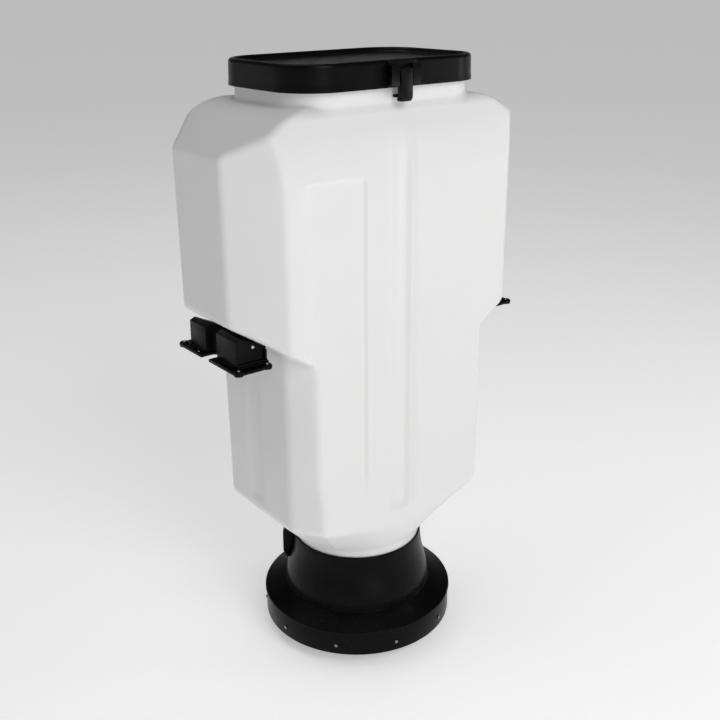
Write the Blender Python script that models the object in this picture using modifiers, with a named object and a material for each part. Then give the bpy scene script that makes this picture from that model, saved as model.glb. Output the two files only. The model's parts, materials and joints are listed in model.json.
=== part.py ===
"""A tailgate salt spreader: a moulded hopper on a spinner housing, with a hinged lid.

Metres, +Z up. X runs across the vehicle, -Y is the side with the lid's latch, and the
object stands on its spinner at z = 0. Heights below are measured up from the lower edge
of the skirt ring, and level() turns them into world heights.
"""

import math

import bmesh
import bpy
import numpy as np
from mathutils import Matrix, Vector

# Driving dimensions
SPINNER_DROP = 0.024  # the spinner's underside hangs this far below the skirt ring
GAP = 0.0003  # between pieces that touch
WALL = 0.006  # hopper wall

LOWER_HALF_WIDTH = 0.1988  # at the foot of the lower body
LOWER_HALF_DEPTH = 0.1345
UPPER_HALF_WIDTH = 0.2921  # at the top of the upper body
SIDE_DRAFT = 0.0184  # growth in half width for each metre of height
FACE_DRAFT = 0.0081
LOWER_FOOT = 0.2507
UPPER_TOP = 0.870
LOWER_CHAMFERS = ((0.0327, 0.0380), (0.0327, 0.0489))  # back and front, across then along Y
UPPER_CHAMFERS = ((0.0652, 0.0630), (0.0652, 0.0737))
SHELF_HEIGHT = 0.561  # where the sloping shelf meets the lower body's side
SHELF_SLOPE = 0.62
SPIGOT_RADIUS = 0.112
SPIGOT_BOTTOM = 0.1165
SPIGOT_TOP = 0.165
NECK_HALF = (0.178, 0.117)
NECK_CORNER = 0.063
NECK_BASE = 0.937
NECK_TOP = 0.985

LID_HALF = (0.187, 0.126)
LID_CORNER = 0.072
LID_BOTTOM = 0.9575
LID_TOP = 1.0
LID_WALL = 0.003
LID_FLARE = 0.001  # the skirt opens out this much at its lower edge
HINGE_AXIS = (0.146, 0.9535)  # y, height
HINGE_AT = 0.11  # distance of each hinge from the middle
LATCH_AXIS = (-0.1345, 0.985)
PIN_RADIUS = 0.002

BRIM_RADIUS = 0.1695
SKIRT_RADIUS = 0.1674
SKIRT_HEIGHT = 0.0400
DOME_RADIUS = 0.1300
COLLAR_HEIGHT = 0.155
SKIRT_SCREWS = 10
FRAME_ARMS = 3

SPINNER_RADIUS = 0.130
SPINNER_VANES = 6
SHAFT_RADIUS = 0.008
MOTOR_ANGLE = math.radians(143)  # the motor lies along this direction, towards the cable inlet
WORM_HEIGHT = 0.066
WHEEL_OFFSET = 0.026  # worm axis to shaft axis
INLET_HEIGHT = 0.1065  # where the power cable passes into the housing

BRACKET_HALF_LENGTH = 0.092
BRACKET_TOP = 0.5485
BRACKET_INNER = 0.2262  # the bracket hangs from the shelf, clear of the lower body's side
NOTCH_AT = (0.2735, 0.005)


def level(height):
    """World height of something this far above the skirt ring's lower edge."""
    return height + SPINNER_DROP


def clear_scene():
    """Start from nothing."""
    for obj in list(bpy.data.objects):
        bpy.data.objects.remove(obj, do_unlink=True)


def new_collection(name):
    """A collection in the scene."""
    made = bpy.data.collections.new(name)
    bpy.context.scene.collection.children.link(made)
    return made


clear_scene()
PARTS = new_collection("tailgate_salt_spreader")
CUTTERS = new_collection("cutters")


def finish(name, colour, roughness, metallic=0.0):
    """A Principled BSDF material."""
    made = bpy.data.materials.new(name)
    made.use_nodes = True
    shader = made.node_tree.nodes["Principled BSDF"]
    shader.inputs["Base Color"].default_value = (*colour, 1)
    shader.inputs["Roughness"].default_value = roughness
    shader.inputs["Metallic"].default_value = metallic
    return made


HOPPER_WHITE = finish("hopper_white", (0.80, 0.80, 0.79), 0.45)
HOUSING_BLACK = finish("housing_black", (0.015, 0.015, 0.016), 0.42)
LID_BLACK = finish("lid_black", (0.018, 0.018, 0.019), 0.48)
STEEL = finish("stainless", (0.62, 0.62, 0.61), 0.30, 1.0)
DARK_STEEL = finish("dark_screws", (0.06, 0.06, 0.06), 0.35, 1.0)
ZINC = finish("zinc_steel", (0.50, 0.51, 0.52), 0.45, 1.0)
MOTOR_PAINT = finish("motor_paint", (0.05, 0.05, 0.055), 0.40)
CASTING = finish("gearbox_casting", (0.45, 0.46, 0.47), 0.50, 1.0)
BRONZE = finish("worm_bronze", (0.55, 0.38, 0.16), 0.35, 1.0)
RUBBER = finish("rubber", (0.02, 0.02, 0.02), 0.80)
SPINNER_POLY = finish("spinner_poly", (0.022, 0.022, 0.024), 0.50)


def moving_body(name, at):
    """An empty on the joint's axis, which the body's pieces are parented to."""
    made = bpy.data.objects.new(name, None)
    made.empty_display_size = 0.03
    made.location = at
    PARTS.objects.link(made)
    return made


LID_BODY = moving_body("lid_axis", (0, HINGE_AXIS[0], level(HINGE_AXIS[1])))
LATCH_BODY = moving_body("latch_axis", (0, LATCH_AXIS[0], level(LATCH_AXIS[1])))
DRIVE_BODY = moving_body("drive_axis", (0, 0, 0))
WORM_SIDE = Vector((-math.sin(MOTOR_ANGLE), math.cos(MOTOR_ANGLE), 0))
WORM_ALONG = Vector((math.cos(MOTOR_ANGLE), math.sin(MOTOR_ANGLE), 0))
WORM_ORIGIN = WORM_SIDE * WHEEL_OFFSET + Vector((0, 0, level(WORM_HEIGHT)))
WORM_BODY = moving_body("worm_axis", WORM_ORIGIN)
DRIVE_TURN = Matrix.Rotation(MOTOR_ANGLE, 4, "Z")


# Solids, each added to a bmesh in world coordinates
def add_box(bm, low, high):
    """An upright box between two corners."""
    low, high = Vector(low), Vector(high)
    size = Matrix.Diagonal((*(high - low), 1))
    bmesh.ops.create_cube(bm, size=1, matrix=Matrix.Translation((low + high) / 2) @ size)


def add_cylinder(bm, start, end, radius, sides=24, end_radius=None):
    """A cylinder or cone from start to end."""
    start, end = Vector(start), Vector(end)
    along = end - start
    turn = along.to_track_quat("Z", "Y").to_matrix().to_4x4()
    bmesh.ops.create_cone(
        bm,
        cap_ends=True,
        segments=sides,
        radius1=radius,
        radius2=radius if end_radius is None else end_radius,
        depth=along.length,
        matrix=Matrix.Translation((start + end) / 2) @ turn,
    )


def add_prism(bm, outline, along, start, end):
    """An outline of (first, second) points pushed out along an axis: 'x', 'y' or 'z'."""
    order = {"x": (2, 0, 1), "y": (0, 2, 1), "z": (0, 1, 2)}[along]

    def corners(at):
        flat = [(p, q, at) for p, q in outline]
        return [bm.verts.new([point[i] for i in order]) for point in flat]

    face = bm.faces.new(corners(start))
    grown = bmesh.ops.extrude_face_region(bm, geom=[face])["geom"]
    moved = [v for v in grown if isinstance(v, bmesh.types.BMVert)]
    shift = [0, 0, 0]
    shift["xyz".index(along)] = end - start
    bmesh.ops.translate(bm, vec=shift, verts=moved)
    bmesh.ops.recalc_face_normals(bm, faces=bm.faces)


def add_loft(bm, rings, closed=False):
    """Skin from ring to ring, each with the same number of points, counter-clockwise from above.

    An open loft goes bottom to top and is capped; a closed one joins its last ring to its first.
    """
    rows = [[bm.verts.new(point) for point in ring] for ring in rings]
    count = len(rows[0])
    pairs = list(zip(rows, rows[1:] + rows[:1])) if closed else list(zip(rows, rows[1:]))
    for lower, upper in pairs:
        for i in range(count):
            j = (i + 1) % count
            bm.faces.new((lower[i], lower[j], upper[j], upper[i]))
    if not closed:
        bm.faces.new(rows[0][::-1])
        bm.faces.new(rows[-1])
    bmesh.ops.triangulate(bm, faces=bm.faces)
    bmesh.ops.recalc_face_normals(bm, faces=bm.faces)


def rod_arc(bm, points, radius, sides=8):
    """A bent rod, its round sections carried along the points."""
    points = [Vector(p) for p in points]
    rings = []
    for i, point in enumerate(points):
        ahead = points[min(i + 1, len(points) - 1)] - points[max(i - 1, 0)]
        turn = ahead.to_track_quat("Z", "X").to_matrix()
        angles = [2 * math.pi * k / sides for k in range(sides)]
        ring = [point + turn @ Vector((math.cos(t), math.sin(t), 0)) * radius for t in angles]
        rings.append(ring)
    add_loft(bm, rings)


def make(name, build, material, body=None):
    """A node: build(bm) fills its mesh, and it rides on the body's empty."""
    bm = bmesh.new()
    build(bm)
    mesh = bpy.data.meshes.new(name)
    bm.to_mesh(mesh)
    bm.free()
    mesh.materials.append(material)
    made = bpy.data.objects.new(name, mesh)
    PARTS.objects.link(made)
    if body:
        made.parent = body
        made.matrix_parent_inverse = Matrix.Translation(-body.location)
    return made


def turned(name, profile, material, body=None, steps=48, collection=PARTS):
    """A closed profile of (radius, height) points turned about the Z axis."""
    mesh = bpy.data.meshes.new(name)
    points = [(r, 0, z) for r, z in profile]
    edges = [(i, (i + 1) % len(points)) for i in range(len(points))]
    if profile[0][0] == 0:
        edges = edges[:-1]
    mesh.from_pydata(points, edges, [])
    mesh.materials.append(material)
    made = bpy.data.objects.new(name, mesh)
    collection.objects.link(made)
    screw = made.modifiers.new("turn", "SCREW")
    screw.steps = steps
    screw.render_steps = steps
    screw.use_merge_vertices = True
    screw.merge_threshold = 0.00005
    screw.use_smooth_shade = False
    if body:
        made.parent = body
        made.matrix_parent_inverse = Matrix.Translation(-body.location)
    return made


def tool(name, build):
    """A shape that is cut from a node or joined to it, and isn't a node itself."""
    made = make(name, build, STEEL)
    PARTS.objects.unlink(made)
    CUTTERS.objects.link(made)
    made.hide_render = True
    made.display_type = "WIRE"
    return made


def combine(target, operation, name, build):
    """Join a shape to the target, or cut it away."""
    modifier = target.modifiers.new(name, "BOOLEAN")
    modifier.operation = operation
    modifier.object = tool(name, build)


def cut(target, name, build):
    combine(target, "DIFFERENCE", f"{name}_cut", build)


def join(target, name, build):
    combine(target, "UNION", f"{name}_joined", build)


# Outlines of the hopper and lid at one height
CORNER_POINTS = 6


def ring_of(corners, half_width, half_depth, height, middle_height=None):
    """A whole ring from its back corner at +X, with a point in the middle of each flat.

    corners holds the back corner's points and the front corner's, both as if at +X +Y.
    """
    heights = np.broadcast_to(height, len(corners[0]))
    middle = heights[-1] if middle_height is None else middle_height
    side = heights[0]
    back, front = ([(x, y, z) for (x, y), z in zip(corner, heights)] for corner in corners)
    ring = back + [(0, half_depth, middle)]
    ring += [(-x, y, z) for x, y, z in back[::-1]] + [(-half_width, 0, side)]
    ring += [(-x, -y, z) for x, y, z in front] + [(0, -half_depth, middle)]
    ring += [(x, -y, z) for x, y, z in front[::-1]] + [(half_width, 0, side)]
    return [(x, y, level(z)) for x, y, z in ring]


def chamfered_corners(half_width, half_depth, chamfers, inset):
    """Points across the back and front chamfers, each from the side inwards."""
    t = np.linspace(0, 1, CORNER_POINTS)
    corners = []
    for chamfer in chamfers:
        across, along = inset_chamfer(chamfer, inset)
        corners.append(np.column_stack([half_width - across * t, half_depth - along * (1 - t)]))
    return corners


def rounded_corner(half_width, half_depth, radius):
    """Points round the corner's arc, from the side to the back."""
    t = np.radians(np.linspace(0, 90, CORNER_POINTS))
    centre = np.array([half_width - radius, half_depth - radius])
    return centre + radius * np.column_stack([np.cos(t), np.sin(t)])


def rounded_ring(half_width, half_depth, radius, height):
    corner = rounded_corner(half_width, half_depth, radius)
    return ring_of((corner, corner), half_width, half_depth, height)


def round_ring(radius, height):
    t = np.radians(np.arange(1, CORNER_POINTS + 1) * 90 / (CORNER_POINTS + 1))
    corner = radius * np.column_stack([np.cos(t), np.sin(t)])
    return ring_of((corner, corner), radius, radius, height)


def inset_chamfer(chamfer, inset):
    """The chamfer of an outline moved inwards all round."""
    across, along = chamfer
    slant = math.hypot(across, along)
    return (
        across - inset * (1 - (slant - across) / along),
        along - inset * (1 - (slant - along) / across),
    )


# Hopper
def lower_half(height):
    """Half width and half depth of the lower body."""
    rise = height - LOWER_FOOT
    return LOWER_HALF_WIDTH + SIDE_DRAFT * rise, LOWER_HALF_DEPTH + FACE_DRAFT * rise


def upper_half(height):
    """Half width and half depth of the upper body."""
    width = UPPER_HALF_WIDTH + SIDE_DRAFT * (height - UPPER_TOP)
    return width, LOWER_HALF_DEPTH + FACE_DRAFT * (height - LOWER_FOOT)


SHOULDER_EDGE = (0.2934, 0.873)  # where the shoulder's slope starts, in from the middle and up
SHOULDER_HEIGHTS = (0.868, 0.882, 0.900, 0.915, 0.927, 0.9345)
SHOULDER_ROUND_FROM = 0.915  # above this the slope bends towards level
FACE_LEAN = 0.2875  # the front and back lean in by this much for each metre above the next height
LEAN_FROM = 0.858


def shoulder_inset(height):
    """How far the width and the depth have come in at this height of the shoulder."""
    width, depth = upper_half(height)
    sloping = SHOULDER_EDGE[0] - (height - SHOULDER_EDGE[1]) / SHELF_SLOPE
    sloping -= 21 * max(0, height - SHOULDER_ROUND_FROM) ** 2
    leaning = upper_half(LEAN_FROM)[1] - FACE_LEAN * (height - LEAN_FROM)
    return max(0, width - sloping), max(0, depth - max(leaning, NECK_HALF[1] + 0.001))


def shoulder_chamfers(inwards, back):
    """What is left of the upright chamfers where the side and the face have come in."""
    left = []
    for across, along in UPPER_CHAMFERS:
        taken = inwards / across + back / along
        left.append((max(across * (1 - taken), 0.008), max(along * (1 - taken), 0.009)))
    return left


def hopper_rings(inset):
    """Rings from the spigot up to the neck, all moved inwards by the inset."""
    lift = 1.15 * inset  # a sloping wall keeps its thickness
    rings = [round_ring(SPIGOT_RADIUS - inset, SPIGOT_BOTTOM)]
    rings.append(round_ring(SPIGOT_RADIUS - inset, SPIGOT_TOP + 0.5 * inset))

    width, depth = lower_half(LOWER_FOOT)
    corners = chamfered_corners(width - inset, depth - inset, LOWER_CHAMFERS, inset)
    foot = LOWER_FOOT + 0.6 * inset
    rings.append(ring_of(corners, width - inset, depth - inset, foot, foot - 0.020))

    for half, chamfers in ((lower_half, LOWER_CHAMFERS), (upper_half, UPPER_CHAMFERS)):
        width, depth = half(SHELF_HEIGHT)
        corners = chamfered_corners(width - inset, depth - inset, chamfers, inset)
        reach = corners[0][:, 0] - lower_half(SHELF_HEIGHT)[0]
        heights = SHELF_HEIGHT + SHELF_SLOPE * reach + lift
        rings.append(ring_of(corners, width - inset, depth - inset, heights))

    for height in SHOULDER_HEIGHTS:
        inwards, back = shoulder_inset(height)
        width, depth = upper_half(height)
        width -= inwards + inset
        depth -= back + inset
        corners = chamfered_corners(width, depth, shoulder_chamfers(inwards, back), inset)
        rings.append(ring_of(corners, width, depth, height - 0.9 * inset))

    across, deep = NECK_HALF
    base = NECK_BASE - inset
    rings.append(rounded_ring(across - inset, deep - inset, NECK_CORNER - inset, base))
    rings.append(rounded_ring(across - inset, deep - inset, NECK_CORNER - inset, NECK_TOP))
    return rings


def face_block(bm, outline, outer, inner):
    """An outline of (x, height) points on the leaning front face, from outer to inner behind it."""
    rings = []
    for behind in (outer, inner):
        rings.append([(x, behind - upper_half(height)[1], level(height)) for x, height in outline])
    add_loft(bm, rings)


def upright(left, right, low, high):
    """A rectangle's outline."""
    return [(left, low), (right, low), (right, high), (left, high)]


def side_block(bm, sign, front, back, low, high, depth):
    """A block that cuts a groove of this depth into the lower body's side."""
    rings = []
    for height in (low, high):
        wall = lower_half(height)[0]
        near, far, z = sign * (wall - depth), sign * (wall + 0.01), level(height)
        ring = [(near, front, z), (far, front, z), (far, back, z), (near, back, z)]
        rings.append(ring if sign > 0 else ring[::-1])
    add_loft(bm, rings)


def build_hopper():
    outer = hopper_rings(0)
    inner = hopper_rings(WALL)
    hopper = make("hopper", lambda bm: add_loft(bm, outer + inner[::-1], closed=True), HOPPER_WHITE)
    rib = upright(-0.024, 0.024, 0.270, 0.845)
    groove = upright(-0.018, 0.018, 0.280, 0.900)
    label = [
        (-0.188, 0.832),
        (-0.188, 0.600),
        (-0.152, 0.565),
        (-0.152, 0.300),
        (-0.073, 0.300),
        (-0.073, 0.832),
    ]
    join(hopper, "groove_rib", lambda bm: face_block(bm, rib, 0.004, 0.0145))
    cut(hopper, "centre_groove", lambda bm: face_block(bm, groove, -0.01, 0.0065))
    cut(hopper, "label_recess", lambda bm: face_block(bm, label, -0.01, 0.003))
    for sign, side in ((1, "right"), (-1, "left")):
        cut(
            hopper,
            f"side_groove_{side}",
            lambda bm: side_block(bm, sign, -0.040, 0.006, 0.275, 0.535, 0.003),
        )
    return hopper


# Spinner housing
def dome_profile(inset):
    """The outside of the housing, from its collar down to the brim, moved in by the inset."""
    top = SPIGOT_RADIUS + 0.0035
    outer = [
        (top, COLLAR_HEIGHT),
        (0.1175, 0.130),
        (0.1215, 0.110),
        (0.1265, 0.090),
        (0.1295, 0.074),
        (DOME_RADIUS, 0.062),
        (0.1335, 0.0565),
        (BRIM_RADIUS - 0.001, 0.0448),
        (BRIM_RADIUS, 0.0438),
    ]
    return [(r - inset, level(z)) for r, z in outer]


def build_housing():
    thick = 0.0032
    lip = SKIRT_RADIUS - 0.0034 - GAP
    inner_top = SPIGOT_RADIUS + GAP
    profile = dome_profile(0)
    profile += [
        (BRIM_RADIUS, level(SKIRT_HEIGHT + GAP)),
        (lip, level(SKIRT_HEIGHT + GAP)),
        (lip, level(0.006)),
        (lip - thick, level(0.006)),
        (lip - thick, level(0.0425)),
        (0.1340, level(0.0520)),
        (DOME_RADIUS - thick, level(0.0600)),
        (0.1262, level(0.074)),
        (0.1230, level(0.090)),
        (0.1180, level(0.1095)),
        (0.1035, level(0.1120)),
        (0.1035, level(0.1162 - GAP)),
        (inner_top, level(0.1162 - GAP)),
        (inner_top, level(COLLAR_HEIGHT)),
    ]
    housing = turned("bell_housing", profile, HOUSING_BLACK, steps=64)

    def bosses(bm):
        for k in range(FRAME_ARMS):
            turn = MOTOR_ANGLE + math.pi / 3 + 2 * math.pi * k / FRAME_ARMS
            at = Vector((math.cos(turn), math.sin(turn), 0)) * 0.146
            add_cylinder(
                bm, at + Vector((0, 0, level(0.0325))), at + Vector((0, 0, level(0.0482))), 0.008, 12
            )

    join(housing, "frame_boss", bosses)

    def screw_holes(bm):
        for turn in screw_angles():
            out = Vector((math.cos(turn), math.sin(turn), 0))
            rise = Vector((0, 0, level(0.017)))
            add_cylinder(bm, out * 0.155 + rise, out * 0.168 + rise, 0.0021, 8)

    cut(housing, "skirt_hole", screw_holes)

    def inlet_hole(bm):
        rise = Vector((0, 0, level(INLET_HEIGHT)))
        add_cylinder(bm, WORM_ALONG * 0.110 + rise, WORM_ALONG * 0.140 + rise, 0.0035, 12)

    cut(housing, "inlet_hole", inlet_hole)
    return housing


def screw_angles():
    """Directions of the skirt's screws, one of them straight out to the side."""
    return [math.radians(-176) + 2 * math.pi * k / SKIRT_SCREWS for k in range(SKIRT_SCREWS)]


def build_skirt():
    inner = SKIRT_RADIUS - 0.0034
    profile = [
        (SKIRT_RADIUS, level(SKIRT_HEIGHT)),
        (SKIRT_RADIUS, level(0.0)),
        (inner, level(0.0)),
        (inner, level(SKIRT_HEIGHT)),
    ]
    skirt = turned("skirt_ring", profile, HOUSING_BLACK, steps=64)

    def screw_holes(bm):
        for turn in screw_angles():
            out = Vector((math.cos(turn), math.sin(turn), 0))
            rise = Vector((0, 0, level(0.017)))
            add_cylinder(bm, out * 0.160 + rise, out * 0.172 + rise, 0.0021, 8)

    cut(skirt, "skirt_ring_hole", screw_holes)
    for number, turn in enumerate(screw_angles(), 1):
        out = Vector((math.cos(turn), math.sin(turn), 0))
        rise = Vector((0, 0, level(0.017)))

        def screw(bm, out=out, rise=rise):
            add_cylinder(
                bm, out * (SKIRT_RADIUS + GAP) + rise, out * (SKIRT_RADIUS + 0.0018) + rise, 0.0030, 12
            )

        head = make(f"skirt_screw_{number:02d}", screw, DARK_STEEL)
        join(
            head,
            f"skirt_shank_{number:02d}",
            lambda bm: add_cylinder(bm, out * 0.158 + rise, out * (SKIRT_RADIUS + 0.001) + rise, 0.0017, 8),
        )


# Drive: frame, gearbox, motor, shaft, spinner and agitator
def build_drive_frame():
    plate_low, plate_high = level(0.0290), level(0.0320)

    def hub(bm):
        add_cylinder(bm, (0, 0, plate_low), (0, 0, plate_high), 0.048, 32)

    frame = make("drive_frame", hub, ZINC)

    def arms(bm):
        for k in range(FRAME_ARMS):
            turn = MOTOR_ANGLE + math.pi / 3 + 2 * math.pi * k / FRAME_ARMS
            spin = Matrix.Rotation(turn, 4, "Z")
            size = Matrix.Diagonal((0.116, 0.022, plate_high - plate_low - 0.0002, 1))
            at = Matrix.Translation((0.097, 0, (plate_low + plate_high) / 2))
            bmesh.ops.create_cube(bm, size=1, matrix=spin @ at @ size)

    join(frame, "frame_arm", arms)

    def holes(bm):
        add_cylinder(bm, (0, 0, plate_low - 0.005), (0, 0, plate_high + 0.005), 0.012, 24)
        for k in range(FRAME_ARMS):
            turn = MOTOR_ANGLE + math.pi / 3 + 2 * math.pi * k / FRAME_ARMS
            at = Vector((math.cos(turn), math.sin(turn), 0)) * 0.146
            low, high = at.copy(), at.copy()
            low.z, high.z = plate_low - 0.005, plate_high + 0.005
            add_cylinder(bm, low, high, 0.0032, 12)

    cut(frame, "frame_hole", holes)

    for k in range(FRAME_ARMS):
        turn = MOTOR_ANGLE + math.pi / 3 + 2 * math.pi * k / FRAME_ARMS
        at = Vector((math.cos(turn), math.sin(turn), 0)) * 0.146

        def head(bm, at=at):
            low, high = at.copy(), at.copy()
            low.z, high.z = plate_low - 0.0043, plate_low - GAP
            add_cylinder(bm, low, high, 0.0062, 6)

        bolt = make(f"frame_bolt_{k + 1}", head, STEEL)

        def shank(bm, at=at):
            low, high = at.copy(), at.copy()
            low.z, high.z = plate_low - 0.002, level(0.0322)
            add_cylinder(bm, low, high, 0.0028, 12)

        join(bolt, f"frame_shank_{k + 1}", shank)


CASE_LOW = 0.0323
CASE_HIGH = 0.0980
CASE_HALF = 0.036


def turned_box(bm, low, high):
    """A box in the drive's own directions: first along the motor, then across it, then up."""
    low, high = Vector(low), Vector(high)
    size = Matrix.Diagonal((*(high - low), 1))
    bmesh.ops.create_cube(bm, size=1, matrix=DRIVE_TURN @ Matrix.Translation((low + high) / 2) @ size)


def build_gearbox():
    low, split, high = level(CASE_LOW), level(0.0900), level(CASE_HIGH)
    side = WHEEL_OFFSET + 0.016
    case = make(
        "gearbox_case",
        lambda bm: turned_box(bm, (-CASE_HALF, -CASE_HALF, low), (CASE_HALF, side, split)),
        CASTING,
    )
    cut(
        case,
        "gearbox_inside",
        lambda bm: turned_box(
            bm, (0.004 - CASE_HALF, 0.004 - CASE_HALF, low + 0.005), (
                CASE_HALF - 0.004, side - 0.004, split + 0.01
            )
        ),
    )
    cut(
        case,
        "gearbox_shaft_hole",
        lambda bm: add_cylinder(bm, (0, 0, low - 0.01), (0, 0, low + 0.01), 0.0113, 24),
    )
    rise = Vector(WORM_ORIGIN)
    cut(case, "gearbox_worm_hole", lambda bm: add_cylinder(bm, rise, rise + WORM_ALONG * 0.06, 0.010, 24))
    cover = make(
        "gearbox_cover",
        lambda bm: turned_box(bm, (-CASE_HALF, -CASE_HALF, split + GAP), (CASE_HALF, side, high)),
        CASTING,
    )
    cut(
        cover,
        "gearbox_cover_hole",
        lambda bm: add_cylinder(bm, (0, 0, split - 0.01), (0, 0, high + 0.01), 0.0163, 24),
    )
    for name, bottom, top, outer in (
        ("bearing_lower", low + GAP, low + 0.0047, 0.0110),
        ("bearing_upper", split + 0.0010, high - GAP, 0.0160),
    ):
        inner = SHAFT_RADIUS + GAP
        profile = [(outer, top), (outer, bottom), (inner, bottom), (inner, top)]
        turned(name, profile, STEEL, steps=24)
    inner = SHAFT_RADIUS + GAP
    base = high + GAP
    seal = [
        (inner + 0.004, base + 0.006),
        (0.0185, base + 0.003),
        (0.0185, base),
        (inner, base),
        (inner, base + 0.006),
    ]
    turned("shaft_seal", seal, RUBBER, steps=24)


def build_motor():
    start = WORM_ORIGIN + WORM_ALONG * (CASE_HALF + GAP)
    end = WORM_ORIGIN + WORM_ALONG * 0.092
    can = make("motor_can", lambda bm: add_cylinder(bm, start, end, 0.024, 32), MOTOR_PAINT)
    cut(
        can,
        "motor_can_hole",
        lambda bm: add_cylinder(bm, start - WORM_ALONG * 0.01, end + WORM_ALONG * 0.01, 0.0215, 32),
    )
    join(can, "motor_flange", lambda bm: add_cylinder(bm, start, start + WORM_ALONG * 0.004, 0.0235, 32))
    cut(
        can,
        "motor_flange_hole",
        lambda bm: add_cylinder(bm, start - WORM_ALONG * 0.01, start + WORM_ALONG * 0.02, 0.009, 24),
    )
    cap_start = end + WORM_ALONG * GAP
    make(
        "motor_end_cap",
        lambda bm: add_cylinder(bm, cap_start, cap_start + WORM_ALONG * 0.006, 0.024, 32),
        HOUSING_BLACK,
    )

    shaft = make(
        "motor_shaft",
        lambda bm: add_cylinder(
            bm, WORM_ORIGIN - WORM_ALONG * 0.030, WORM_ORIGIN + WORM_ALONG * 0.088, 0.004, 16
        ),
        STEEL,
        WORM_BODY,
    )
    join(
        shaft,
        "armature",
        lambda bm: add_cylinder(
            bm, WORM_ORIGIN + WORM_ALONG * 0.046, WORM_ORIGIN + WORM_ALONG * 0.084, 0.0125, 24
        ),
    )
    join(
        shaft,
        "worm",
        lambda bm: add_cylinder(
            bm, WORM_ORIGIN - WORM_ALONG * 0.018, WORM_ORIGIN + WORM_ALONG * 0.018, 0.0060, 24
        ),
    )


def build_worm_wheel():
    low, high = level(WORM_HEIGHT - 0.005), level(WORM_HEIGHT + 0.005)
    radius = WHEEL_OFFSET - 0.0065
    wheel = make(
        "worm_wheel", lambda bm: add_cylinder(bm, (0, 0, low), (0, 0, high), radius, 60), BRONZE, DRIVE_BODY
    )
    join(
        wheel,
        "wheel_hub",
        lambda bm: add_cylinder(bm, (0, 0, low - 0.008), (0, 0, high + 0.008), 0.0135, 24),
    )
    cut(
        wheel,
        "wheel_bore",
        lambda bm: add_cylinder(bm, (0, 0, low - 0.02), (0, 0, high + 0.02), SHAFT_RADIUS + GAP, 24),
    )


SHAFT_TOP = 0.300
HUB_TOP = 0.0255
DISC_TOP = 0.0040


def build_shaft():
    make(
        "drive_shaft",
        lambda bm: add_cylinder(bm, (0, 0, 0.0085), (0, 0, level(SHAFT_TOP)), SHAFT_RADIUS, 24),
        STEEL,
        DRIVE_BODY,
    )


def build_spinner():
    spinner = make(
        "spinner",
        lambda bm: add_cylinder(bm, (0, 0, 0), (0, 0, DISC_TOP), SPINNER_RADIUS, 64),
        SPINNER_POLY,
        DRIVE_BODY,
    )
    join(
        spinner,
        "spinner_hub",
        lambda bm: add_cylinder(bm, (0, 0, 0.002), (0, 0, HUB_TOP), 0.026, 32, 0.019),
    )

    def vanes(bm):
        for k in range(SPINNER_VANES):
            spin = Matrix.Rotation(2 * math.pi * k / SPINNER_VANES, 4, "Z")
            at = Matrix.Translation((0.074, 0.006, 0.0125))
            lean = Matrix.Rotation(math.radians(-8), 4, "Z")
            size = Matrix.Diagonal((0.106, 0.0035, 0.019, 1))
            bmesh.ops.create_cube(bm, size=1, matrix=spin @ at @ lean @ size)

    join(spinner, "spinner_vane", vanes)
    cut(
        spinner,
        "spinner_bore",
        lambda bm: add_cylinder(bm, (0, 0, 0.0082), (0, 0, 0.06), SHAFT_RADIUS + GAP, 24),
    )
    cut(spinner, "spinner_nut_pocket", lambda bm: add_cylinder(bm, (0, 0, -0.01), (0, 0, 0.0083), 0.0135, 24))
    nut = make(
        "spinner_nut",
        lambda bm: add_cylinder(bm, (0, 0, 0.0008), (0, 0, 0.0080), 0.0115, 6),
        STEEL,
        DRIVE_BODY,
    )
    cut(nut, "nut_hole", lambda bm: add_cylinder(bm, (0, 0, -0.01), (0, 0, 0.004), 0.0040, 12))


def build_agitator():
    low, high = level(0.196), level(0.226)
    inner = SHAFT_RADIUS + GAP
    hub = turned(
        "agitator",
        [(0.0150, high), (0.0150, low), (inner, low), (inner, high)],
        STEEL,
        DRIVE_BODY,
        steps=24,
    )
    middle = (low + high) / 2

    def fingers(bm):
        for sign in (1, -1):
            path = [
                (sign * 0.0125, 0, middle),
                (sign * 0.045, 0, middle),
                (sign * 0.062, 0, middle + 0.006),
                (sign * 0.070, 0, middle + 0.022),
                (sign * 0.070, 0, middle + 0.070),
            ]
            rod_arc(bm, path, 0.004)

    join(hub, "agitator_finger", fingers)
    cut(
        hub,
        "agitator_pin_hole",
        lambda bm: add_cylinder(bm, (0, -0.02, level(0.203)), (0, 0.02, level(0.203)), 0.0024, 10),
    )
    for sign, side in ((1, "back"), (-1, "front")):
        start, end = sign * (SHAFT_RADIUS + GAP), sign * 0.0170
        make(
            f"agitator_screw_{side}",
            lambda bm: add_cylinder(bm, (0, start, level(0.203)), (0, end, level(0.203)), 0.0020, 10),
            STEEL,
            DRIVE_BODY,
        )


def build_hood():
    """The roof that sheds salt off the gearbox and motor."""
    low, high = level(0.1075), level(0.1330)
    thick = 0.0025
    profile = [
        (0.0110, high),
        (0.0560, level(0.1110)),
        (0.0560, low),
        (0.0535, low),
        (0.0535, level(0.1095)),
        (0.0110, high - thick - 0.0005),
    ]
    hood = turned("drive_hood", profile, HOUSING_BLACK, steps=40)

    def legs(bm):
        for turn in (60, 180, 300):
            out = Vector((math.cos(math.radians(turn)), math.sin(math.radians(turn)), 0)) * 0.0210
            add_cylinder(
                bm,
                out + Vector((0, 0, level(CASE_HIGH) + GAP)),
                out + Vector((0, 0, level(0.1270))),
                0.0022,
                8,
            )

    join(hood, "hood_leg", legs)


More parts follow.
